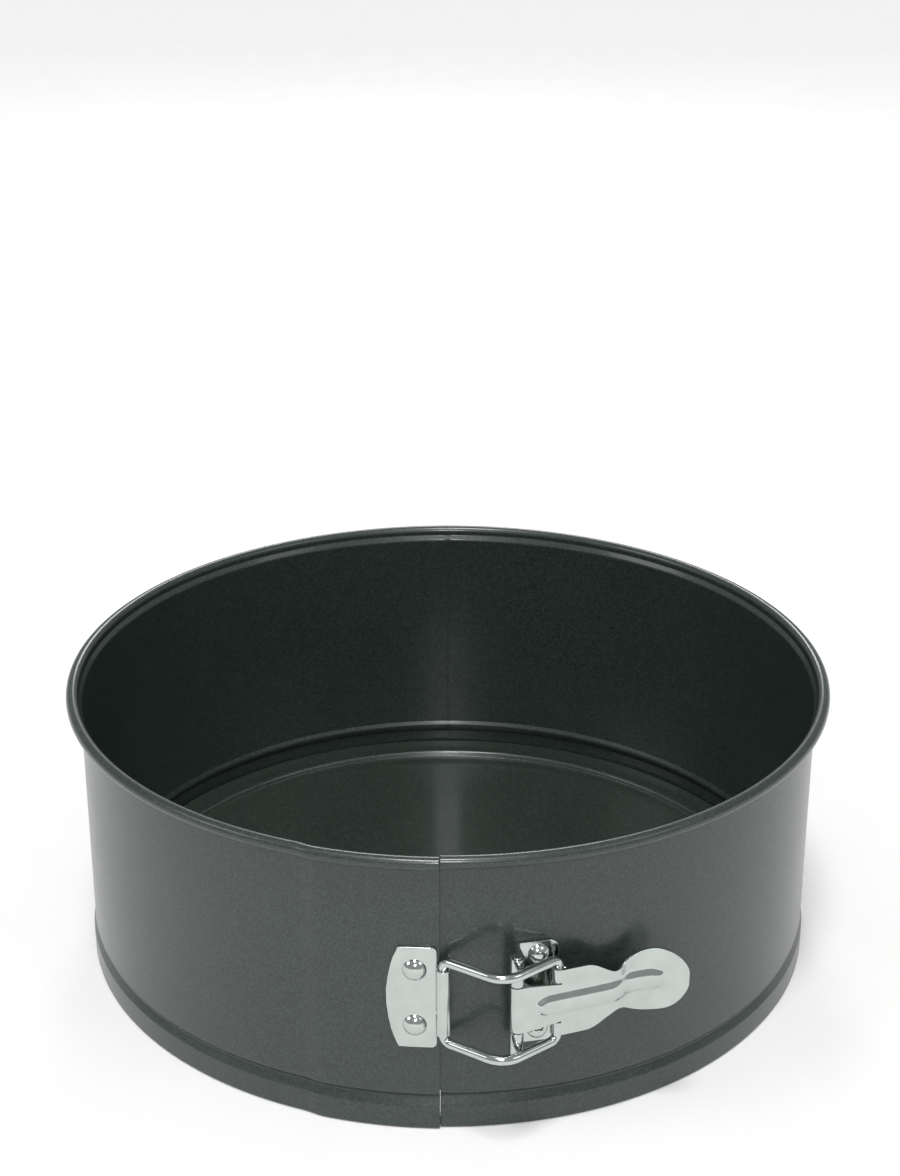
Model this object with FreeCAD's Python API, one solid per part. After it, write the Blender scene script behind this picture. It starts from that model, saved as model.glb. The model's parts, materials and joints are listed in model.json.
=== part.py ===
import FreeCAD, Part
import math
import os

from FreeCAD import Vector

# Springform pan: a loose base disc, a split sheet-steel band with a rolled rim, and an
# over-centre lever clasp that draws the two ends of the band together.
# Frame: origin on the pan's axis in the plane the pan stands on, +Z up, clasp at the front (-Y).
# Lengths are millimetres, angles are degrees. Angles round the pan count from the front,
# positive towards +X.

# ---- pan: driving dimensions ----
inner_radius = 99.8       # inside of the band's wall
pan_height = 78.5         # standing plane to the top of the rim bead
band_sheet = 0.5          # steel thickness of the band
rim_bead_diameter = 3.3   # rolled rim, outside diameter
rim_bead_flare = 0.9      # how far the wall leans out before it rolls into the rim
rim_roll_turn = 290.0     # how far the rim is rolled round
lip_width = 1.85          # turned-in bottom lip that holds the disc
groove_depth = 0.5        # how far the disc groove stands out from the wall
groove_top = 6.6          # height of the groove's shoulder
keeper_bead_height = 8.9  # height of the inward bead above the disc
keeper_bead_depth = 0.8   # how far that bead stands in from the wall
keeper_bead_run = 1.5     # height over which the bead runs back to the wall
rim_lean_low = 2.4        # where the wall starts to lean out, below the rim's centre
rim_lean_high = 0.9       # where it stands upright again, below the rim's centre
lip_bend = 0.5
groove_bend = 0.8
rim_lean_bend = 1.2
rim_neck_bend = 0.9

# ---- overlap of the band's ends ----
seam_x = -1.9             # end of the outer layer
inner_end_x = -30.6       # end of the inner layer, hidden under the outer one
jog_length = 5.5          # length over which the outer layer steps out
layer_gap = 0.2           # between the two layers
tongue_low = 10.9         # the inner layer's trimmed lower edge
tongue_drop = 5.0         # its trimmed upper edge, below the rim

# ---- base disc ----
disc_sheet = 0.7
disc_clearance = 0.3      # disc edge to the groove's wall
disc_floor_top = 1.9      # height of the floor's upper face
disc_ledge_top = 3.3      # height of the raised edge
disc_ledge_width = 8.0
disc_step_run = 0.7       # width of the slope between floor and ledge
disc_bend = 0.6
lip_clearance = 0.05      # disc hem to the lip under it

# ---- clasp ----
clasp_z = 38.6            # middle of every clasp piece
clasp_sheet = 0.6
seat_gap = 0.05           # plate to the band it lies on
run_clearance = 0.05      # radial clearance of wire and pin in their knuckles
wire_diameter = 2.4
pin_diameter = 2.2
curl_turn = 300.0         # how far each knuckle is rolled round
knuckle_gap = 0.3         # end play between neighbouring knuckles
strike_knuckle_gap = 0.1  # each end of the strike knuckle to the wire's corner
knuckle_run = 3.0         # flat run between a plate and its knuckle
spare = 1.0               # how far a cutting or trimming solid reaches past the metal

plate_height = 28.4
strike_left_x = -14.9     # crown of the strike plate's curved edge
strike_right_x = -2.7
strike_edge_bulge = 3.0
strike_knuckle_x = -1.15
strike_rivet_x = -8.0
strike_rivet_spread = 15.7
plate_corner = 1.2

bracket_right_x = 26.5
bracket_rivet_x = 21.6
bracket_rivet_spread = 21.4
pin_x = 16.4
pin_standoff = 6.5        # pin axis to the wall's outer face
web_foot = 2.0            # start of the web's bend, right of the pin axis
web_bend = 1.0
web_relief = 3.6          # depth of the window that lets the lever's knuckle turn

rivet_shank = 2.9
rivet_head = 6.0
rivet_dome = 1.6
bracket_rivet_head = 5.4
rivet_tail = 5.0
rivet_tail_thickness = 0.5
pin_overhang = 0.2        # each end of the hinge pin past the bracket

tongue_height = 12.6      # lever's tongue, at the hinge pin
tongue_straight = 2.0     # the tongue keeps that height this far from the pin axis
tongue_ear_height = 10.4  # the tongue between the ears
lever_height = 18.4       # lever's widest part
lever_ear_s = 10.6        # pin axis to the wire's axis, along the lever
ear_slit = 0.5            # between the tongue and each ear
ear_slit_run = 0.2        # how far the slit runs on past the ears
ear_run = 1.5             # flat run between an ear's roll and the sheet
lever_shoulder_s = 18.6
shoulder_corner = 5.0
lever_neck_s = 25.6
lever_neck_height = 10.4
neck_corner = 3.0
tab_start_s = 33.0
tab_start_corner = 9.0
tab_height = 17.8
lever_length = 44.2
tab_corner = 7.5
lever_step = 2.55         # the thumb tab lies this much nearer the wall
lever_step_length = 4.2
lever_step_s = 27.3       # middle of the step
lever_step_bend = 2.0
tab_curl_s = 34.8         # where the tab starts to curve away from the wall
tab_curl = 22.0
tab_curl_bend = 8.0
tip_standoff = 7.3        # end of the lever's straight line to the wall's outer face
rib_height = 1.0
rib_width = 6.0
rib_start_s = 4.5
rib_end_s = 38.8
rib_end_flat = 0.04       # straight part of each rounded rib end

link_height = 23.0        # between the axes of the wire's two arms
link_corner = 2.2
elbow_x = 13.3            # corner of the bowed arms
elbow_radius = 6.5
arm_clearance = 0.25      # bowed arms to the bracket's knuckles
wire_end_gap = 0.2        # the wire's two ends meet inside the strike knuckle

# ---- sizes worked out from the driving dimensions ----
wall_mid = inner_radius + band_sheet / 2
wall_outer = inner_radius + band_sheet
layer_step = band_sheet + layer_gap
flap_inner = inner_radius + layer_step
flap_outer = wall_outer + layer_step
strike_seat = flap_outer + seat_gap
bracket_seat = wall_outer + seat_gap
wire_knuckle = wire_diameter / 2 + run_clearance + clasp_sheet / 2
pin_knuckle = pin_diameter / 2 + run_clearance + clasp_sheet / 2
pin_radius = wall_outer + pin_standoff
strike_knuckle_radius = strike_seat + clasp_sheet / 2 + wire_knuckle
knuckle_half = link_height / 2 - link_corner - strike_knuckle_gap
tiny = 1e-6


def angle_at(x, radius):
    """Angle round the pan of a point that lies at x on a circle of this radius."""
    return math.degrees(math.asin(x / radius))


def at(angle, radius, z=0.0):
    """Point at an angle round the pan."""
    a = math.radians(angle)
    return Vector(radius * math.sin(a), -radius * math.cos(a), z)


def turned(v, degrees):
    a = math.radians(degrees)
    return Vector(v.x * math.cos(a) - v.y * math.sin(a), v.x * math.sin(a) + v.y * math.cos(a), 0)


def mid_line(points, bends, curl):
    """Runs and bends of a folded sheet's middle line, each a list of (point, left normal).

    points are (x, y) corners, bends the bend radius at each inner corner, and curl is None
    or (radius, turn): a roll at the far end, to the left where turn is positive.
    """
    corners = [Vector(x, y, 0) for x, y in points]
    pieces = []
    here = corners[0]
    heading = corners[1].sub(corners[0]).normalize()
    for i, corner in enumerate(corners[1:], 1):
        last = i == len(corners) - 1
        if last:
            reach = corner
        else:
            onward = corners[i + 1].sub(corner).normalize()
            turn = math.degrees(math.atan2(heading.cross(onward).z, heading.dot(onward)))
            tangent = bends[i - 1] * math.tan(math.radians(abs(turn) / 2))
            reach = corner - heading * tangent
        if reach.sub(here).Length > tiny:
            left = turned(heading, 90)
            pieces.append([(here, left), (reach, left)])
        here = reach
        if not last:
            pieces.append(bend_samples(here, heading, bends[i - 1], turn))
            here = pieces[-1][-1][0]
            heading = onward
    if curl:
        pieces.append(bend_samples(here, heading, *curl))
    return pieces


def bend_samples(start, heading, radius, turn):
    """Start, middle and end of an arc that leaves start along heading."""
    left = turned(heading, 90)
    side = math.copysign(1, turn)
    centre = start + left * (side * radius)
    samples = []
    for part in (0, 0.5, 1):
        normal = turned(left, turn * part)
        samples.append((centre - normal * (side * radius), normal))
    return samples


def folded_sheet(points, bends, thickness, curl=None):
    """Face of a folded sheet seen end-on, in the XY plane."""
    return sheet_face(mid_line(points, bends, curl), thickness)


def sheet_face(pieces, thickness):
    """Face of a sheet, half its thickness to each side of its middle line's runs and bends."""
    edges = []
    for side in (0.5, -0.5):
        for piece in pieces:
            spots = [p + n * (side * thickness) for p, n in piece]
            if len(spots) == 2:
                edges.append(Part.LineSegment(*spots).toShape())
            else:
                edges.append(Part.Arc(*spots).toShape())
    for p, n in (pieces[0][0], pieces[-1][-1]):
        half = n * (thickness / 2)
        edges.append(Part.LineSegment(p + half, p - half).toShape())
    return Part.Face(Part.Wire(Part.__sortEdges__(edges)))


def stand_up(face):
    """Turn an XY face into a section through the pan's axis: x is the radius, y the height."""
    face.rotate(Vector(0, 0, 0), Vector(1, 0, 0), 90)
    return face


def at_front(shape, angle=0.0):
    """Turn a shape made at +X to an angle round the pan."""
    return shape.rotated(Vector(0, 0, 0), Vector(0, 0, 1), angle - 90)


def spun(face, start, end):
    """Spin a section at +X from one angle round the pan to another."""
    swept = face.revolve(Vector(0, 0, 0), Vector(0, 0, 1), end - start)
    return at_front(swept, start)


def extruded(face, low, high):
    moved = face.translated(Vector(0, 0, low))
    return moved.extrude(Vector(0, 0, high - low))


def outline(points, corner_radii):
    """Closed face in the XY plane with rounded corners."""
    corners = [Vector(x, y, 0) for x, y in points]
    ends = []
    for i, corner in enumerate(corners):
        back = corners[i - 1].sub(corner)
        on = corners[(i + 1) % len(corners)].sub(corner)
        half = back.getAngle(on) / 2
        reach = corner_radii[i] / math.tan(half)
        first = corner + back.normalize() * reach
        second = corner + on.normalize() * reach
        bisector = (back + on).normalize()
        crown = corner + bisector * (corner_radii[i] / math.sin(half) - corner_radii[i])
        ends.append((first, crown, second))
    edges = []
    for i, (first, crown, second) in enumerate(ends):
        if corner_radii[i] > 0:
            edges.append(Part.Arc(first, crown, second).toShape())
        following = ends[(i + 1) % len(ends)][0]
        if following.sub(second).Length > tiny:
            edges.append(Part.LineSegment(second, following).toShape())
    return Part.Face(Part.Wire(Part.__sortEdges__(edges)))


def curved_plate(face, seat, thickness):
    """Sheet of a given outline (x across, y up) bent to lie on a cylinder at the front."""
    box = face.BoundBox
    depth = seat + thickness + spare
    block = face.rotated(Vector(0, 0, 0), Vector(1, 0, 0), 90).extrude(Vector(0, -depth, 0))
    height = box.YLength + 2 * spare
    outer = Part.makeCylinder(seat + thickness, height, Vector(0, 0, box.YMin - spare))
    inner = Part.makeCylinder(seat, height, Vector(0, 0, box.YMin - spare))
    return block.common(outer.cut(inner))


# ---- pan ----

def band_section(offset=0.0):
    """Whole section of the band: lip, disc groove, keeper bead, wall and rolled rim."""
    half = band_sheet / 2
    wall = wall_mid + offset
    groove = wall + groove_depth
    roll = rim_bead_diameter / 2 - half
    roll_start = pan_height - rim_bead_diameter / 2
    points = [
        (groove + half - lip_width, half),
        (groove, half),
        (groove, groove_top),
        (wall - keeper_bead_depth, keeper_bead_height),
        (wall, keeper_bead_height + keeper_bead_run),
        (wall, roll_start - rim_lean_low),
        (wall + rim_bead_flare, roll_start - rim_lean_high),
        (wall + rim_bead_flare, roll_start),
    ]
    bends = [lip_bend, groove_bend, groove_bend, groove_bend, rim_lean_bend, rim_neck_bend]
    return stand_up(folded_sheet(points, bends, band_sheet, curl=(roll, -rim_roll_turn)))


def tongue_section():
    """Plain inner layer under the overlap."""
    top = pan_height - tongue_drop
    points = [(wall_mid, tongue_low), (wall_mid, top)]
    return stand_up(folded_sheet(points, [], band_sheet))


def side_band():
    seam = angle_at(seam_x, flap_outer)
    inner_end = angle_at(inner_end_x, wall_outer)
    jog = math.degrees(jog_length / wall_outer)
    half_kerf = math.degrees(layer_gap / 2 / wall_outer)
    step_end = inner_end - half_kerf
    step_start = step_end - jog
    body = spun(band_section(), seam + half_kerf, step_start + 360)
    near = at_front(band_section(), step_start)
    far = at_front(band_section(layer_step), step_end)
    step = Part.makeLoft([near.OuterWire, far.OuterWire], True, True)
    flap = spun(band_section(layer_step), step_end, seam - half_kerf)
    tongue = spun(tongue_section(), inner_end + half_kerf, seam + half_kerf)
    band = body.fuse([step, flap, tongue]).removeSplitter()
    for hole in strike_rivet_places():
        band = band.cut(rivet_hole(hole, flap_inner - layer_gap / 2))
    for hole in bracket_rivet_places():
        band = band.cut(rivet_hole(hole, inner_radius - spare))
    return band


def base_disc():
    """Pressed disc: flat floor, raised ledge and a turned-down hem that sits in the groove."""
    half = disc_sheet / 2
    edge = inner_radius + groove_depth - disc_clearance - half
    ledge_start = edge + half - disc_ledge_width
    floor = disc_floor_top - half
    ledge = disc_ledge_top - half
    points = [
        (0, floor),
        (ledge_start - disc_step_run, floor),
        (ledge_start, ledge),
        (edge, ledge),
        (edge, band_sheet + lip_clearance),
    ]
    section = stand_up(folded_sheet(points, [disc_bend] * 3, disc_sheet))
    return section.revolve(Vector(0, 0, 0), Vector(0, 0, 1), 360)


# ---- rivets ----

def strike_rivet_places():
    angle = angle_at(strike_rivet_x, strike_seat)
    return [(angle, clasp_z + s * strike_rivet_spread / 2) for s in (1, -1)]


def bracket_rivet_places():
    angle = angle_at(bracket_rivet_x, bracket_seat)
    return [(angle, clasp_z + s * bracket_rivet_spread / 2) for s in (1, -1)]


def rivet_hole(place, start):
    """Radial drill for a rivet's shank, from one radius outward past every sheet."""
    radius = rivet_shank / 2 + run_clearance
    length = bracket_seat + layer_step + clasp_sheet + 2 * spare - start
    drill = Part.makeCylinder(radius, length, Vector(start, 0, place[1]), Vector(1, 0, 0))
    return at_front(drill, place[0])


def domed_rivet(place, inside, head_seat, head, tail):
    """Rivet along a radius: domed head outside, shank, and an inner head where tail is not 0."""
    dome_radius = (head * head / 4 + rivet_dome * rivet_dome) / (2 * rivet_dome)
    shank_start = inside - (rivet_tail_thickness if tail else 0)
    shape = Part.makeCylinder(rivet_shank / 2, head_seat - shank_start, Vector(shank_start, 0, 0),
                              Vector(1, 0, 0))
    ball = Part.makeSphere(dome_radius, Vector(head_seat + rivet_dome - dome_radius, 0, 0))
    keep = Part.makeCylinder(head, rivet_dome + spare, Vector(head_seat, 0, 0), Vector(1, 0, 0))
    shape = shape.fuse(ball.common(keep))
    if tail:
        shape = shape.fuse(Part.makeCylinder(tail / 2, rivet_tail_thickness,
                                             Vector(shank_start, 0, 0), Vector(1, 0, 0)))
    return at_front(shape.translated(Vector(0, 0, place[1])), place[0])


def strike_rivet(place):
    """Its inner end is set flush, because the band's inner layer slides under it."""
    return domed_rivet(place, flap_inner, strike_seat + clasp_sheet, rivet_head, 0)


def bracket_rivet(place):
    inside = inner_radius - seat_gap
    return domed_rivet(place, inside, bracket_seat + clasp_sheet, bracket_rivet_head, rivet_tail)


# ---- clasp ----

def local_section(shape, angle):
    """Place a section drawn with x along the wall and y outward at an angle round the pan."""
    flipped = shape.mirror(Vector(0, 0, 0), Vector(0, 1, 0))
    return flipped.rotated(Vector(0, 0, 0), Vector(0, 0, 1), angle)


def strike_plate():
    """Plate riveted to the band's outer end, with a knuckle rolled round the wire."""
    half = plate_height / 2
    left = strike_left_x - spare
    face = outline(
        [(left, clasp_z - half), (strike_right_x, clasp_z - half),
         (strike_right_x, clasp_z + half), (left, clasp_z + half)],
        [0, plate_corner, plate_corner, 0])
    bulge_radius = (half * half + strike_edge_bulge ** 2) / (2 * strike_edge_bulge)
    centre = Vector(strike_left_x + bulge_radius, clasp_z, 0)
    bulge = Part.Face(Part.Wire(Part.makeCircle(bulge_radius, centre)))
    plate = curved_plate(face.common(bulge).Faces[0], strike_seat, clasp_sheet)
    mid = strike_seat + clasp_sheet / 2
    run = [(-knuckle_run, mid), (0, mid)]
    section = folded_sheet(run, [], clasp_sheet, curl=(wire_knuckle, curl_turn))
    angle = angle_at(strike_knuckle_x, strike_knuckle_radius)
    knuckle = extruded(local_section(section, angle), clasp_z - knuckle_half, clasp_z + knuckle_half)
    plate = plate.fuse(knuckle)
    for hole in strike_rivet_places():
        plate = plate.cut(rivet_hole(hole, strike_seat - spare))
    return plate


def hinge_bracket():
    """Plate riveted to the band's other end, with a web and two knuckles for the hinge pin."""
    half = plate_height / 2
    mid = bracket_seat + clasp_sheet / 2
    angle = angle_at(pin_x, pin_radius)
    pin = at(angle, pin_radius)
    right = angle_at(bracket_right_x, mid)
    foot = angle + math.degrees(web_foot / mid)
    arc = [(at(a, mid), at(a, 1)) for a in (right, (right + foot) / 2, foot)]
    heading = turned(at(foot, 1), -90)
    to_pin = pin.sub(at(foot, mid + web_bend))
    crossing = math.degrees(math.asin((web_bend + pin_knuckle) / to_pin.Length))
    web = turned(to_pin, crossing).normalize()
    bend = bend_samples(at(foot, mid), heading, web_bend, math.degrees(heading.getAngle(web)))
    length = math.sqrt(to_pin.Length ** 2 - (web_bend + pin_knuckle) ** 2)
    foot_end, normal = bend[-1]
    straight = [(foot_end, normal), (foot_end + web * length, normal)]
    curl = bend_samples(straight[-1][0], web, pin_knuckle, -curl_turn)
    sheet = sheet_face([arc, bend, straight, curl], clasp_sheet)
    bracket = extruded(sheet, clasp_z - half, clasp_z + half)
    reach = 2 * pin_radius
    flat = outline(
        [(0, clasp_z - half), (bracket_right_x, clasp_z - half),
         (bracket_right_x, clasp_z + half), (0, clasp_z + half)],
        [0, 2 * plate_corner, 2 * plate_corner, 0])
    block = flat.rotated(Vector(0, 0, 0), Vector(1, 0, 0), 90).extrude(Vector(0, -reach, 0))
    bracket = bracket.common(block)
    window_half = tongue_height / 2 + knuckle_gap
    window = Part.makeBox(4 * pin_knuckle, 4 * pin_knuckle + web_relief, 2 * window_half)
    window.translate(Vector(-2 * pin_knuckle, pin_radius - web_relief, clasp_z - window_half))
    bracket = bracket.cut(local_section(window, angle))
    for hole in bracket_rivet_places():
        bracket = bracket.cut(rivet_hole(hole, bracket_seat - spare))
    return bracket


def hinge_pin():
    angle = angle_at(pin_x, pin_radius)
    length = plate_height + 2 * pin_overhang
    foot = at(angle, pin_radius, clasp_z - length / 2)
    return Part.makeCylinder(pin_diameter / 2, length, foot)


def lever_direction():
    """Angle of the closed lever from +X: its straight line ends tip_standoff off the wall."""
    tip_radius = wall_outer + tip_standoff
    start = angle_at(pin_x, pin_radius)
    cosine = (pin_radius ** 2 + lever_length ** 2 - tip_radius ** 2) / (2 * pin_radius * lever_length)
    return start + 90 - math.degrees(math.acos(cosine))


def lever_place(shape):
    """Place a shape drawn on the lever: x along it from the pin, y outward, z from its middle."""
    pin = at(angle_at(pin_x, pin_radius), pin_radius, clasp_z)
    return local_section(shape, lever_direction()).translated(pin)


def wire_offset():
    """How far the wire's axis lies outward of the line through the pin along the lever."""
    return pin_knuckle - wire_knuckle


def lever_outline():
    """Flat shape of the lever, x along it and y up."""
    tongue = tongue_ear_height / 2
    wide = lever_height / 2
    tab = tab_height / 2
    upper = [
        (-2 * pin_knuckle, tongue_height / 2, 0),
        (tongue_straight, tongue_height / 2, 0),
        (lever_ear_s + ear_slit_run, tongue, 0),
        (lever_ear_s + ear_slit_run, tongue + ear_slit, 0),
        (lever_ear_s, tongue + ear_slit, 0),
        (lever_ear_s, wide, 0),
        (lever_shoulder_s, wide, shoulder_corner),
        (lever_neck_s, lever_neck_height / 2, neck_corner),
        (tab_start_s, tab, tab_start_corner),
        (lever_length, tab, tab_corner),
    ]
    points = [(s, z) for s, z, _ in upper] + [(s, -z) for s, z, _ in reversed(upper)]
    radii = [r for _, _, r in upper] + [r for _, _, r in reversed(upper)]
    return outline(points, radii)


def lever_rib_outline(inset):
    half = rib_width / 2 - inset
    start = rib_start_s + inset
    end = rib_end_s - inset
    points = [(start, -half), (end, -half), (end, half), (start, half)]
    return outline(points, [half - rib_end_flat / 2] * 4)


def lever_line(lift):
    """Middle line of the lever's sheet from the tip to the pin, moved outward by lift."""
    off = pin_knuckle + lift
    tab_off = off - lever_step
    reach = lever_length + spare - tab_curl_s
    return [
        (tab_curl_s + reach, tab_off + reach * math.tan(math.radians(tab_curl))),
        (tab_curl_s, tab_off),
        (lever_step_s + lever_step_length / 2, tab_off),
        (lever_step_s - lever_step_length / 2, off),
        (0, off),
    ]


def stamped(lift, thickness, flat, curl=None):
    """Bent sheet along the lever's line, trimmed to a flat shape that is drawn along the lever."""
    bends = [tab_curl_bend, lever_step_bend, lever_step_bend]
    blank = folded_sheet(lever_line(lift), bends, thickness, curl)
    depth = lever_height
    press = flat.rotated(Vector(0, 0, 0), Vector(1, 0, 0), 90)
    press = press.translated(Vector(0, depth, 0)).extrude(Vector(0, -2 * depth, 0))
    return extruded(blank, -lever_height, lever_height).common(press)


def lever():
    """Pressed lever: tongue rolled round the pin, two ears rolled round the wire, thumb tab."""
    shape = stamped(0, clasp_sheet, lever_outline(), curl=(pin_knuckle, curl_turn))
    low = tongue_ear_height / 2 + ear_slit
    for side in (1, -1):
        run = [(lever_ear_s + ear_run, pin_knuckle), (lever_ear_s, pin_knuckle)]
        roll = folded_sheet(run, [], clasp_sheet, curl=(wire_knuckle, curl_turn))
        ear = extruded(roll, *sorted((side * low, side * lever_height / 2)))
        shape = shape.fuse(ear)
    depth = rib_height + clasp_sheet / 2
    shape = shape.fuse(stamped(depth / 2, depth, lever_rib_outline(0)))
    hollow = stamped(depth / 2 - clasp_sheet, depth, lever_rib_outline(clasp_sheet))
    return lever_place(shape.cut(hollow))


def wire_axis_point():
    """Where the wire's right leg turns in the lever's ears, at the clasp's middle height."""
    pin = at(angle_at(pin_x, pin_radius), pin_radius, clasp_z)
    return pin + turned(Vector(lever_ear_s, -wire_offset(), 0), lever_direction())


def elbow_point():
    """Corner of a bowed arm: the arm from the ears passes just outside the bracket's knuckles."""
    pin = at(angle_at(pin_x, pin_radius), pin_radius, clasp_z)
    ear = wire_axis_point()
    to_pin = pin.sub(ear)
    apart = wire_diameter / 2 + pin_knuckle + clasp_sheet / 2 + arm_clearance
    swing = math.degrees(math.asin(apart / to_pin.Length))
    along = turned(to_pin, swing)
    return ear + along * ((elbow_x - ear.x) / along.x)


def wire_link():
    """Bent wire loop: a leg in the strike knuckle, two bowed arms, a leg in the lever's ears."""
    top = link_height / 2
    strike = at(angle_at(strike_knuckle_x, strike_knuckle_radius), strike_knuckle_radius, clasp_z)
    elbow = elbow_point()
    ear = wire_axis_point()
    up = Vector(0, 0, top)
    gap = Vector(0, 0, wire_end_gap / 2)
    corners = [strike + gap, strike + up, elbow + up, ear + up, ear - up, elbow - up, strike - up,
               strike - gap]
    radii = [link_corner, elbow_radius, link_corner, link_corner, elbow_radius, link_corner]
    edges = []
    here = corners[0]
    for i, radius in enumerate(radii, 1):
        corner = corners[i]
        back = corners[i - 1].sub(corner).normalize()
        on = corners[i + 1].sub(corner).normalize()
        half = back.getAngle(on) / 2
        reach = radius / math.tan(half)
        first = corner + back * reach
        second = corner + on * reach
        crown = corner + (back + on).normalize() * (radius / math.sin(half) - radius)
        edges.append(Part.LineSegment(here, first).toShape())
        edges.append(Part.Arc(first, crown, second).toShape())
        here = second
    edges.append(Part.LineSegment(here, corners[-1]).toShape())
    path = Part.Wire(edges)
    ring = Part.Wire(Part.makeCircle(wire_diameter / 2, corners[0], Vector(0, 0, 1)))
    return path.makePipeShell([ring], True, False)


def write(name, shape):
    solids = shape.Solids
    if len(solids) == 1:
        shape = solids[0]
    shape.exportStep("parts/" + name + ".step")
    box = shape.BoundBox
    print("%-20s solids %d valid %s volume %9.2f  x %.2f %.2f  y %.2f %.2f  z %.2f %.2f" % (
        name, len(solids), shape.isValid(), shape.Volume, box.XMin, box.XMax, box.YMin, box.YMax,
        box.ZMin, box.ZMax))


os.makedirs("parts", exist_ok=True)
upper_strike, lower_strike = strike_rivet_places()
upper_bracket, lower_bracket = bracket_rivet_places()
write("side_band", side_band())
write("base_disc", base_disc())
write("strike_plate", strike_plate())
write("strike_rivet_upper", strike_rivet(upper_strike))
write("strike_rivet_lower", strike_rivet(lower_strike))
write("wire_link", wire_link())
write("hinge_bracket", hinge_bracket())
write("bracket_rivet_upper", bracket_rivet(upper_bracket))
write("bracket_rivet_lower", bracket_rivet(lower_bracket))
write("hinge_pin", hinge_pin())
write("lever", lever())
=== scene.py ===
import json
import math

import bmesh
import bpy
from mathutils import Matrix, Vector


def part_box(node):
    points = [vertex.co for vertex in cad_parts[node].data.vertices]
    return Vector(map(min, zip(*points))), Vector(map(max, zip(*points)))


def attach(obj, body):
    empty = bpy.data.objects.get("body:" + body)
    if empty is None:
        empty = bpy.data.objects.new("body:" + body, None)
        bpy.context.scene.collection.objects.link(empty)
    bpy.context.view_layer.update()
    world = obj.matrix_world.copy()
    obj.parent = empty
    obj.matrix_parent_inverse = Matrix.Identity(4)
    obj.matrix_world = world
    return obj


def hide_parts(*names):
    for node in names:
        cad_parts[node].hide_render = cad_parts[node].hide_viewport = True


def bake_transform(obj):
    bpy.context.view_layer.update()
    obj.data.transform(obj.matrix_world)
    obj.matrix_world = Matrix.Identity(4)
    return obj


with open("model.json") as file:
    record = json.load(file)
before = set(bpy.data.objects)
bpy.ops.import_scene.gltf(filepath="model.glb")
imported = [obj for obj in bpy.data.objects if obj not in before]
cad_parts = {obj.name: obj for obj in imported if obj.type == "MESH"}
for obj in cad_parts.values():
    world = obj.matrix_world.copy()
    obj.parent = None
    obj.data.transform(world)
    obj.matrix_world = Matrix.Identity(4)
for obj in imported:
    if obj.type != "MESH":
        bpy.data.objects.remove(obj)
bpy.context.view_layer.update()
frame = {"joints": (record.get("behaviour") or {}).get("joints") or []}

joints = {joint["name"]: joint for joint in frame["joints"]}
bpy.ops.object.select_all(action="DESELECT")


# ---- side band ----
# One strip of 0.5 mm spring steel, roll-formed and coated: a lip that holds the base disc, a groove
# for its edge, an inward bead that keeps it down, a plain wall, and a rim rolled outward.
# Its left end steps out and laps over its right end. Two halves meet at the back.

band_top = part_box("side_band")[1]
band_sheet = 0.0005
rim_bead = 0.0033         # outside diameter of the rolled rim
rim_flare = 0.0009        # how far the wall leans out before it rolls
rim_turn = math.radians(290)
rim_roll = (rim_bead - band_sheet) / 2
wall = band_top.x - rim_bead / 2 - rim_roll - rim_flare    # middle of the wall's sheet
roll_height = band_top.z - rim_bead / 2
lip_width = 0.00185
groove_depth = 0.0005
groove_top = 0.0066
keeper_height = 0.0089
keeper_depth = 0.0008
keeper_rise = 0.0015
layer_gap = 0.0002
layer_step = band_sheet + layer_gap
seam_x = -0.0019          # end of the outer layer
inner_end_x = -0.0306     # end of the inner layer
jog_length = 0.0055       # over this length the outer layer steps out
tongue_low = 0.0109       # trimmed edges of the inner layer
tongue_high = band_top.z - 0.005
lean_drop = 0.0024        # the wall starts to lean out this far below the rim's middle
fold_bends = [0.0005, 0.0008, 0.0008, 0.0008, 0, 0, 0.0012, 0.0009]    # from the lip upward
band_edge = 0.00008       # rounding of the cut edges
seat_gap = 0.00005        # riveted pieces to the band they lie on
tiny = 1e-6


def pick(test, faces=False):
    """Select the points, or the faces by their middles, that pass a test of their place."""
    bpy.ops.mesh.select_mode(type="FACE" if faces else "VERT")
    bpy.ops.mesh.select_all(action="DESELECT")
    mesh = bmesh.from_edit_mesh(bpy.context.object.data)
    for part in mesh.faces if faces else mesh.verts:
        part.select_set(test(part.calc_center_median() if faces else part.co))
    mesh.select_flush_mode()
    bmesh.update_edit_mesh(bpy.context.object.data)


def stretch_to(step):
    bpy.ops.mesh.extrude_region_move(TRANSFORM_OT_translate={"value": step})


def roll(turn, centre, axis=(0, 0, 1), steps=8):
    """Carry the selected edge round an axis, counterclockwise as seen from the axis's tip."""
    bpy.ops.mesh.spin(steps=steps, angle=-turn, center=centre, axis=axis)


def draw_line(name, corners, bends=()):
    """Start a piece as a line through its corners, with each inner corner bent to its radius."""
    corners = [Vector(corner) for corner in corners]
    bpy.ops.mesh.primitive_plane_add(size=tiny, location=corners[0])
    piece = bpy.context.object
    piece.name = name
    bpy.ops.object.transform_apply(location=True, rotation=False, scale=False)
    bpy.ops.object.mode_set(mode="EDIT")
    bpy.ops.mesh.select_mode(type="VERT")
    bpy.ops.mesh.merge(type="CENTER")
    for here, onward in zip(corners, corners[1:]):
        stretch_to(onward - here)
    for before, corner, after, bend in zip(corners, corners[1:], corners[2:], bends):
        if bend:
            turn = (corner - before).angle(after - corner)
            pick(lambda place: (place - corner).length < tiny)
            bpy.ops.mesh.bevel(offset=bend * math.tan(turn / 2), segments=6, affect="VERTICES")
    return piece


def turn_to(angle):
    """Turn everything in the piece round the pan's axis."""
    bpy.ops.mesh.select_all(action="SELECT")
    bpy.ops.transform.rotate(value=-angle, orient_axis="Z", center_override=(0, 0, 0))


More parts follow.
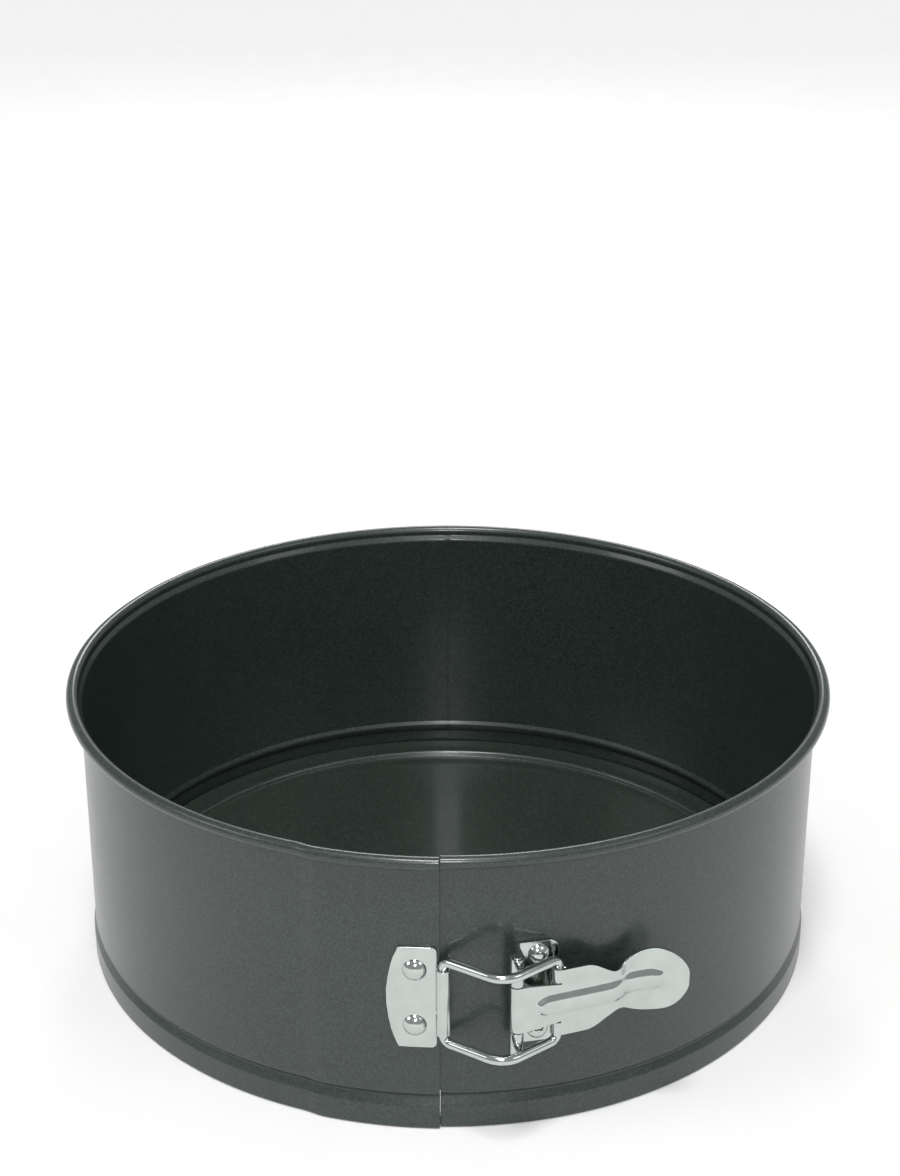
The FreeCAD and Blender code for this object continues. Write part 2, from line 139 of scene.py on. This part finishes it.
def apply_modifiers(piece, *modifiers):
    for kind, settings in modifiers:
        modifier = piece.modifiers.new(kind, kind)
        for setting, value in settings.items():
            setattr(modifier, setting, value)
        bpy.ops.object.modifier_apply(modifier=modifier.name)


def finish_sheet(piece, thickness, edge):
    """Give a bent sheet its thickness, break its cut edges and shade it."""
    bpy.ops.mesh.select_all(action="SELECT")
    bpy.ops.mesh.remove_doubles(threshold=tiny)
    bpy.ops.mesh.normals_make_consistent(inside=False)
    bpy.ops.object.mode_set(mode="OBJECT")
    bpy.ops.object.shade_smooth()
    apply_modifiers(
        piece,
        ("SOLIDIFY", {"thickness": thickness, "offset": 0, "use_even_offset": True}),
        ("BEVEL", {"width": edge, "segments": 2, "angle_limit": math.radians(55)}),
        ("WEIGHTED_NORMAL", {"keep_sharp": True}),
    )


def linear(hex_colour):
    """An sRGB hex value as linear red, green, blue and alpha."""
    shades = [int(hex_colour[i:i + 2], 16) / 255 for i in (1, 3, 5)]
    return [s / 12.92 if s <= 0.04045 else ((s + 0.055) / 1.055) ** 2.4 for s in shades] + [1]


def new_material(name):
    material = bpy.data.materials.new(name)
    material.use_nodes = True
    material.node_tree.nodes.clear()
    return material


def add_node(material, kind, settings=(), inputs=()):
    """Add a node with its settings. An input is a value, or the socket that feeds it."""
    tree = material.node_tree
    added = tree.nodes.new(kind)
    for setting, value in dict(settings).items():
        setattr(added, setting, value)
    for socket, value in dict(inputs).items():
        if isinstance(value, bpy.types.NodeSocket):
            tree.links.new(value, added.inputs[socket])
        else:
            added.inputs[socket].default_value = value
    return added


def non_stick_coating(name, dark, pale, gloss):
    """Non-stick coating: PTFE loaded with fine aluminium flake, sprayed and baked on steel.

    The eye sees a dark green-grey with a soft gloss, a fine metallic speckle and a slight
    orange-peel surface.
    """
    flake = 0.00035       # drawn a little coarser than the real 0.1 mm, so that it shows
    flake_share = 0.25
    cloud = 0.03
    peel = 0.0012
    peel_depth = 0.0001
    coating = new_material(name)
    place = add_node(coating, "ShaderNodeTexCoord").outputs["Object"]
    flakes = add_node(coating, "ShaderNodeTexVoronoi", {}, {"Vector": place, "Scale": 1 / flake})
    clouds = add_node(coating, "ShaderNodeTexNoise", {}, {"Vector": place, "Scale": 1 / cloud,
                                                          "Detail": 4})
    bumps = add_node(coating, "ShaderNodeTexNoise", {}, {"Vector": place, "Scale": 1 / peel,
                                                         "Detail": 2})
    speckle = add_node(coating, "ShaderNodeMapRange", {}, {
        "Value": flakes.outputs["Color"], "From Min": 0.35, "From Max": 1,
        "To Min": 0, "To Max": 1})
    tone = add_node(coating, "ShaderNodeMix", {"data_type": "RGBA"}, {
        0: clouds.outputs["Fac"], 6: linear(dark), 7: linear(pale)})
    metal = add_node(coating, "ShaderNodeMath", {"operation": "MULTIPLY"}, {
        0: speckle.outputs["Result"], 1: flake_share})
    rough = add_node(coating, "ShaderNodeMapRange", {}, {
        "Value": clouds.outputs["Fac"], "To Min": gloss - 0.03, "To Max": gloss + 0.05})
    relief = add_node(coating, "ShaderNodeBump", {}, {
        "Height": bumps.outputs["Fac"], "Strength": 0.05, "Distance": peel_depth})
    fleck = add_node(coating, "ShaderNodeMix", {"data_type": "RGBA"}, {
        0: metal.outputs[0], 6: tone.outputs[2], 7: linear("#6c7a74")})
    shader = add_node(coating, "ShaderNodeBsdfPrincipled", {}, {
        "Base Color": fleck.outputs[2], "Metallic": metal.outputs[0],
        "Roughness": rough.outputs["Result"], "Normal": relief.outputs["Normal"], "IOR": 1.5,
        "Coat Weight": 0.4, "Coat Roughness": 0.12})
    add_node(coating, "ShaderNodeOutputMaterial", {}, {"Surface": shader.outputs[0]})
    return coating


def band_half(name, start):
    """The band's whole section, drawn at the front and turned to an angle round the pan."""
    groove = wall + groove_depth
    flare = wall + rim_flare
    points = [
        (groove + band_sheet / 2 - lip_width, band_sheet / 2),
        (groove, band_sheet / 2),
        (groove, groove_top),
        (wall - keeper_depth, keeper_height),
        (wall, keeper_height + keeper_rise),
        (wall, tongue_low),
        (wall, tongue_high),
        (wall, roll_height - lean_drop),
        (flare, roll_height - rim_flare),
        (flare, roll_height),
    ]
    piece = draw_line(name, [(0, -radius, height) for radius, height in points], fold_bends)
    pick(lambda place: (place - Vector((0, -flare, roll_height))).length < tiny)
    roll(rim_turn, (0, -flare - rim_roll, roll_height), axis=(1, 0, 0), steps=24)
    turn_to(start)
    return piece


def sweep(angle, steps):
    roll(angle, (0, 0, 0), steps=max(1, steps))


def angle_at(x, radius):
    """Angle round the pan, from the front, of a point at x on a circle."""
    return math.asin(x / radius)


half_kerf = layer_gap / 2 / wall
seam = angle_at(seam_x, wall + layer_step)
inner_end = angle_at(inner_end_x, wall)
jog_end = inner_end - half_kerf
jog_start = jog_end - jog_length / wall

band_coating = non_stick_coating("band_non_stick_coating", "#19231e", "#212c27", 0.36)

band_right = band_half("band_right", seam + half_kerf)
sweep(math.pi - seam - half_kerf, 181)
pick(lambda place: abs(math.atan2(place.x, -place.y) - seam - half_kerf) < tiny
     and tongue_low - tiny < place.z < tongue_high + tiny and place.y < 0)
sweep(inner_end - seam, 17)
finish_sheet(band_right, band_sheet, band_edge)
band_right.data.materials.append(band_coating)
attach(band_right, "ring")
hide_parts("side_band")

band_left = band_half("band_left", math.pi)
sweep(math.pi + jog_start, 159)
jog_steps = 5
stepped = 0
for step in range(1, jog_steps + 1):
    sweep((jog_end - jog_start) / jog_steps, 1)
    share = step / jog_steps
    out = layer_step * share * share * (3 - 2 * share) / wall
    grow = (1 + out) / (1 + stepped)
    bpy.ops.transform.resize(value=(grow, grow, 1), center_override=(0, 0, 0))
    stepped = out
sweep(seam - half_kerf - jog_end, 17)
finish_sheet(band_left, band_sheet, band_edge)
band_left.data.materials.append(band_coating)
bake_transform(band_left)
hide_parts("side_band")


# ---- base disc ----
# The loose bottom: 0.7 mm steel pressed to a flat floor with a raised ledge, its edge turned down
# into the band's groove, and coated like the band.

disc_low, disc_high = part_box("base_disc")
disc_sheet = 0.0007
disc_edge = disc_high.x - disc_sheet / 2
ledge_width = 0.008
ledge_slope = 0.0007      # how far the floor's edge leans out as it rises to the ledge
floor_top = 0.0019
disc_bend = 0.0006
disc_rounding = 0.0001
floor_height = floor_top - disc_sheet / 2
ledge_height = disc_high.z - disc_sheet / 2
ledge_start = disc_high.x - ledge_width

disc_coating = non_stick_coating("disc_non_stick_coating", "#1b2520", "#242f29", 0.3)
base_disc = draw_line("base_disc_shell", [
    (0, 0, floor_height),
    (0, -ledge_start + ledge_slope, floor_height),
    (0, -ledge_start, ledge_height),
    (0, -disc_edge, ledge_height),
    (0, -disc_edge, disc_low.z),
], [disc_bend] * 3)
bpy.ops.mesh.select_all(action="SELECT")
sweep(2 * math.pi, 240)
finish_sheet(base_disc, disc_sheet, disc_rounding)
base_disc.data.materials.append(disc_coating)
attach(base_disc, "base")
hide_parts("base_disc")


# ---- strike plate ----
# Bright plated 0.6 mm steel, blanked with an arched left edge, bent to the band's curve and
# riveted to its outer end. Its right edge is rolled into a knuckle that holds the wire.

clasp_sheet = 0.0006
clasp_edge = 0.0001       # rounding of the cut edges
run_clearance = 0.00005
curl_turn = math.radians(300)
pin_place = Vector(joints["lever_swing"]["pos_m"])
clasp_height = pin_place.z
wire_radius = 0.0012
wire_knuckle = wire_radius + run_clearance + clasp_sheet / 2
strike_low, strike_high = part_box("strike_plate")
plate_half = (strike_high.z - strike_low.z) / 2
strike_seat = wall + band_sheet / 2 + layer_step + seat_gap
strike_middle = strike_seat + clasp_sheet / 2
strike_left = strike_low.x
strike_right = -0.0027
strike_bulge = 0.003
knuckle_half = 0.0092
plate_corner = 0.0012
strike_leg_x = -0.00115
leg_radius = strike_middle + wire_knuckle
leg_angle = angle_at(strike_leg_x, leg_radius)
strike_leg = Vector((strike_leg_x, -leg_radius * math.cos(leg_angle), clasp_height))


def around(angle, radius, height):
    """A point at an angle round the pan from the front."""
    return Vector((radius * math.sin(angle), -radius * math.cos(angle), height))


def trim_round(centre_x, centre_z, radius, first, last, cuts, region):
    """Cut a convex rounded edge, seen from the front, with a fan of straight cuts."""
    for cut in range(cuts):
        angle = first + (last - first) * (cut + 0.5) / cuts
        away = Vector((math.cos(angle), 0, math.sin(angle)))
        pick(region, faces=True)
        bpy.ops.mesh.bisect(
            plane_co=Vector((centre_x, 0, centre_z)) + away * radius, plane_no=away,
            clear_outer=True)


def plated_steel():
    """Bright zinc-nickel plated mild steel, pressed and barrel polished.

    The eye sees a pale, slightly green-grey mirror, a little hazy, with faint tumbling marks
    that run every way.
    """
    haze = 0.004
    mark = 0.0007
    mark_depth = 0.00005
    plating = new_material("bright_plated_steel")
    place = add_node(plating, "ShaderNodeTexCoord").outputs["Object"]
    hazes = add_node(plating, "ShaderNodeTexNoise", {}, {"Vector": place, "Scale": 1 / haze,
                                                         "Detail": 5})
    marks = add_node(plating, "ShaderNodeTexNoise", {}, {"Vector": place, "Scale": 1 / mark,
                                                         "Detail": 3, "Distortion": 1.5})
    tone = add_node(plating, "ShaderNodeMix", {"data_type": "RGBA"}, {
        0: hazes.outputs["Fac"], 6: linear("#b4bbb8"), 7: linear("#cad1ce")})
    rough = add_node(plating, "ShaderNodeMapRange", {}, {
        "Value": hazes.outputs["Fac"], "From Min": 0.3, "From Max": 0.7,
        "To Min": 0.1, "To Max": 0.17})
    relief = add_node(plating, "ShaderNodeBump", {}, {
        "Height": marks.outputs["Fac"], "Strength": 0.04, "Distance": mark_depth})
    shader = add_node(plating, "ShaderNodeBsdfPrincipled", {}, {
        "Base Color": tone.outputs[2], "Metallic": 1, "Roughness": rough.outputs["Result"],
        "Normal": relief.outputs["Normal"]})
    add_node(plating, "ShaderNodeOutputMaterial", {}, {"Surface": shader.outputs[0]})
    return plating


plating = plated_steel()

plate_low, plate_high = clasp_height - plate_half, clasp_height + plate_half
knuckle_low, knuckle_high = clasp_height - knuckle_half, clasp_height + knuckle_half
left_angle = angle_at(strike_left, strike_middle)
right_angle = angle_at(strike_right, strike_middle)
strike_plate = draw_line("strike_plate_sheet", [
    around(left_angle, strike_middle, height)
    for height in (plate_low, knuckle_low, knuckle_high, plate_high)])
bpy.ops.mesh.select_all(action="SELECT")
sweep(right_angle - left_angle, 14)
pick(lambda place: place.x > strike_right - tiny
     and abs(place.z - clasp_height) < knuckle_half + tiny)
stretch_to(around(leg_angle, strike_middle, 0) - around(right_angle, strike_middle, 0))
roll(-curl_turn, strike_leg, steps=30)
bulge_radius = (plate_half ** 2 + strike_bulge ** 2) / (2 * strike_bulge)
bulge_angle = math.asin(plate_half / bulge_radius)
trim_round(strike_left + bulge_radius, clasp_height, bulge_radius, math.pi - bulge_angle,
           math.pi + bulge_angle, 24, lambda place: place.x < strike_right)
for side in (1, -1):
    trim_round(strike_right - plate_corner, clasp_height + side * (plate_half - plate_corner),
               plate_corner, 0, side * math.pi / 2, 6,
               lambda place: place.x < strike_right
               and side * (place.z - clasp_height) > knuckle_half)
finish_sheet(strike_plate, clasp_sheet, clasp_edge)
strike_plate.data.materials.append(plating)
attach(strike_plate, "band_end")
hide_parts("strike_plate")


# ---- rivets ----
# Plated domed rivets, headed cold. Two hold the strike plate and two the hinge bracket, whose
# rivets also show a flat inner head inside the pan.

shank = 0.00145           # half widths, as are the heads and tails
strike_head = 0.003
bracket_head = 0.0027
bracket_tail = 0.0025
tail_sheet = 0.0005       # thickness of an inner head
dome_height = 0.0016
dimple = 0.00025          # the flat that the heading tool leaves on the crown
dimple_dip = 0.0001
rivet_edge = 0.00012
bracket_seat = wall + band_sheet / 2 + seat_gap


def domed_rivet(name, inside, seat, head, tail):
    """Turn a rivet's outline about its own axis, lying along a radius at the front of the pan."""
    spread = head - dimple
    dome_radius = (spread * spread + dome_height * dome_height) / (2 * dome_height)
    crown = seat + dome_height
    rivet = draw_line(name, [(0, dimple_dip - crown, 0), (0, -crown, dimple)])
    roll(-math.asin(spread / dome_radius), (0, dome_radius - crown, dimple),
         axis=(1, 0, 0), steps=10)
    outline = [(-seat, shank), (-inside, shank)]
    if tail:
        outline = [(-seat, shank), (-inside, shank), (-inside, tail), (tail_sheet - inside, tail)]
    here = Vector((0, -seat, head))
    for depth, radius in outline + [(outline[-1][0], 0)]:
        onward = Vector((0, depth, radius))
        stretch_to(onward - here)
        here = onward
    bpy.ops.mesh.select_all(action="SELECT")
    roll(2 * math.pi, (0, 0, 0), axis=(0, 1, 0), steps=48)
    bpy.ops.mesh.select_all(action="SELECT")
    bpy.ops.mesh.remove_doubles(threshold=tiny)
    bpy.ops.mesh.normals_make_consistent(inside=False)
    bpy.ops.object.mode_set(mode="OBJECT")
    bpy.ops.object.shade_smooth()
    apply_modifiers(
        rivet,
        ("BEVEL", {"width": rivet_edge, "segments": 2, "angle_limit": math.radians(40)}),
        ("WEIGHTED_NORMAL", {"keep_sharp": True}),
    )
    return rivet


for plate, body, seat, inside, head, tail in (
    ("strike", "band_end", strike_seat + clasp_sheet, wall + layer_step, strike_head, 0),
    ("bracket", "ring", bracket_seat + clasp_sheet, wall - band_sheet / 2 - seat_gap,
     bracket_head, bracket_tail),
):
    for level in ("upper", "lower"):
        node = plate + "_rivet_" + level
        low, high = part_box(node)
        middle = (low + high) / 2
        rivet = domed_rivet(node + "_domed", inside, seat, head, tail)
        bpy.ops.object.mode_set(mode="EDIT")
        turn_to(math.atan2(middle.x, -middle.y))
        bpy.ops.transform.translate(value=(0, 0, middle.z))
        bpy.ops.object.mode_set(mode="OBJECT")
        rivet.data.materials.append(plating)
        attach(rivet, body)
        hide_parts(node)


# ---- hinge bracket ----
# Plated 0.6 mm steel riveted to the band's other end. Its left edge is bent to a web that stands
# out from the wall and rolls round the pin, with a window in the middle for the lever's tongue.

bracket_middle = bracket_seat + clasp_sheet / 2
pin_radius = 0.0011
pin_knuckle = pin_radius + run_clearance + clasp_sheet / 2
pin_angle = math.atan2(pin_place.x, -pin_place.y)
pin_reach = math.hypot(pin_place.x, pin_place.y)
web_bend = 0.001
web_foot = 0.002          # start of the web's bend, right of the pin
web_relief = 0.0036
tongue_wide = 0.0063      # half height of the lever's tongue, at the pin
end_play = 0.0003
window_half = tongue_wide + end_play
bracket_corner = 0.0024
bracket_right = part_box("hinge_bracket")[1].x

outward = Vector((math.sin(pin_angle), -math.cos(pin_angle), 0))
foot_angle = pin_angle + web_foot / bracket_middle
foot = around(foot_angle, bracket_middle, 0)
bend_middle = around(foot_angle, bracket_middle + web_bend, 0)
to_pin = Vector((pin_place.x, pin_place.y, 0)) - bend_middle
crossing = web_bend + pin_knuckle
web_way = Matrix.Rotation(math.asin(crossing / to_pin.length), 3, "Z") @ to_pin.normalized()
web_turn = Vector((foot.y, -foot.x, 0)).angle(web_way)
web = web_way * math.sqrt(to_pin.length ** 2 - crossing ** 2)
edge_angle = angle_at(bracket_right, bracket_middle)
bracket = draw_line("hinge_bracket_sheet", [
    around(edge_angle, bracket_middle, height)
    for height in (plate_low, clasp_height - window_half, clasp_height + window_half, plate_high)])
bpy.ops.mesh.select_all(action="SELECT")
sweep(foot_angle - edge_angle, 10)
roll(web_turn, bend_middle, steps=8)
bend_end = bend_middle + Matrix.Rotation(web_turn, 3, "Z") @ (foot - bend_middle)
relief_share = (pin_reach - web_relief - bend_end.dot(outward)) / web.dot(outward)
stretch_to(web * relief_share)
stretch_to(web * (1 - relief_share))
roll(-curl_turn, pin_place, steps=30)
for side in (1, -1):
    trim_round(bracket_right - bracket_corner, clasp_height + side * (plate_half - bracket_corner),
               bracket_corner, 0, side * math.pi / 2, 8,
               lambda place: place.x > foot.x + web_bend
               and side * (place.z - clasp_height) > 0)
pick(lambda place: abs(place.z - clasp_height) < window_half
     and place.dot(outward) > pin_reach - web_relief, faces=True)
bpy.ops.mesh.delete(type="FACE")
finish_sheet(bracket, clasp_sheet, clasp_edge)
bracket.data.materials.append(plating)
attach(bracket, "ring")
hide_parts("hinge_bracket")


# ---- hinge pin ----
# A plain plated steel pin through the bracket's two knuckles and the lever's tongue, cut off a
# little long, with its ends rounded.

pin_low, pin_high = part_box("hinge_pin")
pin_rounding = 0.0003
bpy.ops.mesh.primitive_cylinder_add(
    vertices=40, radius=pin_radius, depth=pin_high.z - pin_low.z,
    location=(pin_place.x, pin_place.y, (pin_low.z + pin_high.z) / 2))
pin = bpy.context.object
pin.name = "hinge_pin_round"
bpy.ops.object.transform_apply(location=True, rotation=False, scale=False)
bpy.ops.object.shade_smooth()
apply_modifiers(
    pin,
    ("BEVEL", {"width": pin_rounding, "segments": 4, "angle_limit": math.radians(40)}),
    ("WEIGHTED_NORMAL", {"keep_sharp": True}),
)
pin.data.materials.append(plating)
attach(pin, "ring")
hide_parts("hinge_pin")


# ---- lever ----
# Pressed from plated 0.6 mm steel: a tongue rolled round the pin, two ears rolled round the wire,
# a stiffening rib down the middle, a step inwards at the neck and a round thumb tab.

ear_place = Vector(joints["link_swing"]["pos_m"])
to_ear = ear_place - pin_place
ear_in = wire_knuckle - pin_knuckle           # the wire's axis lies this much nearer the wall
ear_s = math.sqrt(to_ear.x ** 2 + to_ear.y ** 2 - ear_in ** 2)
lever_turn = math.atan2(to_ear.y, to_ear.x) - math.atan2(ear_in, ear_s)
tongue_half = 0.0052      # between the ears
tongue_straight = 0.002   # the tongue keeps its full height this far from the pin
slit = 0.0005
ear_low = tongue_half + slit
lever_half = 0.0092
slit_run = 0.0002         # how far the slits run on past the ears
blank_start = ear_s + slit_run
rib_half = 0.0031
rib_height = 0.001
rib_start = 0.0045
rib_end = 0.0388
# stations along the lever, from the ears to the tip: distance from the pin, half width, and how
# much nearer the wall the sheet lies than at the ears
stations = [
    (0.0125, 0.0092, 0), (0.0145, 0.0092, 0), (0.0168, 0.0092, 0), (0.0186, 0.0091, 0),
    (0.0205, 0.0082, 0), (0.0226, 0.0068, 0), (0.0242, 0.0059, 0.00005), (0.0254, 0.0055, 0.0004),
    (0.0266, 0.0057, 0.0010), (0.0278, 0.0062, 0.00175), (0.0289, 0.0069, 0.0023),
    (0.0301, 0.0075, 0.0025), (0.0320, 0.0083, 0.00255), (0.0340, 0.0087, 0.00245),
    (0.0360, 0.0088, 0.00205), (0.0372, 0.0087, 0.0016), (0.0384, 0.0084, 0.0010),
    (0.0398, 0.0078, 0.0003), (0.0414, 0.0066, -0.00025), (0.0428, 0.0050, -0.00055),
    (0.0438, 0.0033, -0.0007), (0.0442, 0.0019, -0.00075),
]
rows = [0.0008, 0.0016, 0.0023, rib_half, 0.0042, tongue_half, ear_low, 0.0078]

lever = draw_line("lever_pressing", [(blank_start, -pin_knuckle, side) for side in sorted(
    [0, lever_half, -lever_half] + rows + [-row for row in rows])])
bpy.ops.mesh.select_all(action="SELECT")
here_s, here_half, here_in = blank_start, lever_half, 0
for along, half, inward in stations:
    stretch_to((along - here_s, inward - here_in, 0))
    if along < rib_end:
        for side in (1, -1):
            pick(lambda place: place.x > along - tiny and side * place.z > rib_half + tiny)
            bpy.ops.transform.resize(
                value=(1, 1, (half - rib_half) / (here_half - rib_half)),
                center_override=(0, 0, side * rib_half))
        pick(lambda place: place.x > along - tiny)
    else:
        bpy.ops.transform.resize(value=(1, 1, half / here_half), center_override=(0, 0, 0))
    here_s, here_half, here_in = along, half, inward
here_s, here_half = blank_start, tongue_half
pick(lambda place: abs(place.x - here_s) < tiny and abs(place.z) < tongue_half + tiny)
for along in (0.0098, 0.0084, 0.0072, 0.0062, 0.0052, rib_start, 0.0032, tongue_straight, 0):
    stretch_to((along - here_s, 0, 0))
    spread = min(1, (blank_start - along) / (blank_start - tongue_straight))
    half = tongue_half + (tongue_wide - tongue_half) * spread
    for side in (1, -1):
        pick(lambda place: abs(place.x - along) < tiny and side * place.z > rib_half + tiny)
        bpy.ops.transform.resize(
            value=(1, 1, (half - rib_half) / (here_half - rib_half)),
            center_override=(0, 0, side * rib_half))
    pick(lambda place: abs(place.x - along) < tiny)
    here_s, here_half = along, half
roll(-curl_turn, (0, 0, 0), steps=20)
for side in (1, -1):
    pick(lambda place: abs(place.x - blank_start) < tiny and side * place.z > ear_low - tiny)
    stretch_to((ear_s - blank_start, 0, 0))
    roll(-curl_turn, (ear_s, ear_in, 0), steps=20)
for row, rise in ((0, 1), (0.0008, 0.97), (0.0016, 0.8), (0.0023, 0.4)):
    first = rib_start + 0.0005 + (1 - rise) * 0.003
    last = rib_end - 0.001 - (1 - rise) * 0.002
    pick(lambda place: abs(abs(place.z) - row) < tiny and first < place.x < last)
    bpy.ops.transform.translate(value=(0, -rib_height * rise, 0))
pick(lambda place: place.x < blank_start + tiny and place.x > ear_s - tiny
     and abs(place.z) > tongue_half - tiny)
bpy.ops.transform.vert_crease(value=1)
bpy.ops.mesh.select_all(action="SELECT")
bpy.ops.transform.rotate(value=-lever_turn, orient_axis="Z", center_override=(0, 0, 0))
bpy.ops.transform.translate(value=pin_place)
bpy.ops.object.mode_set(mode="OBJECT")
apply_modifiers(lever, ("SUBSURF", {"levels": 2, "render_levels": 2, "boundary_smooth": "ALL"}))
bpy.ops.object.mode_set(mode="EDIT")
finish_sheet(lever, clasp_sheet, clasp_edge)
lever.data.materials.append(plating)
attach(lever, "lever")
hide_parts("lever")


# ---- wire link ----
# One length of 2.4 mm plated spring wire bent to a closed loop: a leg in the strike knuckle, two
# bowed arms that clear the hinge, and a leg in the lever's ears. Its ends meet in the knuckle.

wire_low, wire_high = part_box("wire_link")
arm_half = (wire_high.z - wire_low.z) / 2 - wire_radius
elbow_x = 0.0133
arm_clearance = 0.00025   # arms to the bracket's knuckles
arm_apart = wire_radius + pin_knuckle + clasp_sheet / 2 + arm_clearance
arm_way = Matrix.Rotation(math.asin(arm_apart / to_ear.length), 3, "Z") @ -to_ear
elbow = ear_place + arm_way * ((elbow_x - ear_place.x) / arm_way.x)
end_gap = Vector((0, 0, 0.0001))          # half of the gap between the wire's two ends
up = Vector((0, 0, arm_half))
corner_bend = 0.0022
elbow_bend = 0.0065
route = [strike_leg + end_gap, strike_leg + up, elbow + up, ear_place + up,
         ear_place - up, elbow - up, strike_leg - up, strike_leg - end_gap]
route_bends = [corner_bend, elbow_bend, corner_bend, corner_bend, elbow_bend, corner_bend]

bpy.ops.mesh.primitive_circle_add(vertices=28, radius=wire_radius, location=route[0])
wire = bpy.context.object
wire.name = "wire_link_loop"
bpy.ops.object.transform_apply(location=True, rotation=False, scale=False)
bpy.ops.object.mode_set(mode="EDIT")
here = route[0]
for before, corner, after, bend in zip(route, route[1:], route[2:], route_bends):
    inward = (corner - before).normalized()
    onward = (after - corner).normalized()
    turn = inward.angle(onward)
    reach = bend * math.tan(turn / 2)
    bend_start = corner - inward * reach
    axis = inward.cross(onward).normalized()
    stretch_to(bend_start - here)
    roll(turn, bend_start + axis.cross(inward) * bend, axis=axis, steps=12)
    here = corner + onward * reach
stretch_to(route[-1] - here)
bpy.ops.mesh.select_all(action="SELECT")
bpy.ops.mesh.remove_doubles(threshold=tiny)
bpy.ops.mesh.fill_holes(sides=0)
bpy.ops.mesh.select_all(action="SELECT")
bpy.ops.mesh.normals_make_consistent(inside=False)
bpy.ops.object.mode_set(mode="OBJECT")
bpy.ops.object.shade_smooth_by_angle(angle=math.radians(40))
wire.data.materials.append(plating)
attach(wire, "link")
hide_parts("wire_link")


# ---- studio ----
# A plain pale floor under soft light, seen from the front and above: a pale room, three wide
# distant lamps, and a small bright lamp in front and behind for the glints.

bpy.ops.mesh.primitive_plane_add(size=12, location=(0, 0, 0))
floor = bpy.context.object
floor.name = "studio_floor"
paper = new_material("studio_paper")
grain = add_node(paper, "ShaderNodeTexNoise", {}, {
    "Vector": add_node(paper, "ShaderNodeTexCoord").outputs["Object"], "Scale": 40})
tint = add_node(paper, "ShaderNodeMix", {"data_type": "RGBA"}, {
    0: grain.outputs["Fac"], 6: linear("#f4f4f3"), 7: linear("#f8f8f7")})
matte = add_node(paper, "ShaderNodeBsdfPrincipled", {}, {"Base Color": tint.outputs[2],
                                                        "Roughness": 0.8})
add_node(paper, "ShaderNodeOutputMaterial", {}, {"Surface": matte.outputs[0]})
floor.data.materials.append(paper)

world = bpy.data.worlds.new("studio_room")
world.use_nodes = True
world.node_tree.nodes["Background"].inputs["Color"].default_value = (0.95, 0.97, 0.96, 1)
world.node_tree.nodes["Background"].inputs["Strength"].default_value = 0.42
bpy.context.scene.world = world

# a distant lamp's spread is its angle, a near one's is its width
for name, kind, place, spread, power in (
    ("lamp_above", "SUN", (-0.05, -0.3, 1), math.radians(14), 1.5),
    ("lamp_left", "SUN", (-1, -0.3, 0.7), math.radians(24), 0.4),
    ("lamp_right", "SUN", (0.8, -0.4, 0.8), math.radians(24), 0.25),
    ("lamp_behind", "AREA", (0, 0.95, 0.68), 0.25, 2),
    ("lamp_front", "AREA", (0, -1.05, 0.76), 0.16, 4.5),
):
    lamp_data = bpy.data.lights.new(name, kind)
    if kind == "SUN":
        lamp_data.angle = spread
    else:
        lamp_data.size = spread
    lamp_data.energy = power
    lamp = bpy.data.objects.new(name, lamp_data)
    lamp.location = place
    lamp.rotation_euler = (-Vector(place)).to_track_quat("-Z", "Y").to_euler()
    bpy.context.scene.collection.objects.link(lamp)

camera_data = bpy.data.cameras.new("camera")
camera_data.lens = 67.26
camera_data.sensor_width = 36
camera_data.shift_x = 0.0017
camera = bpy.data.objects.new("camera", camera_data)
camera.location = (0, -0.5453, 0.3404)
camera.rotation_euler = (math.radians(66.36), 0, 0)
bpy.context.scene.collection.objects.link(camera)
bpy.context.scene.camera = camera
bpy.context.scene.view_settings.view_transform = "Standard"
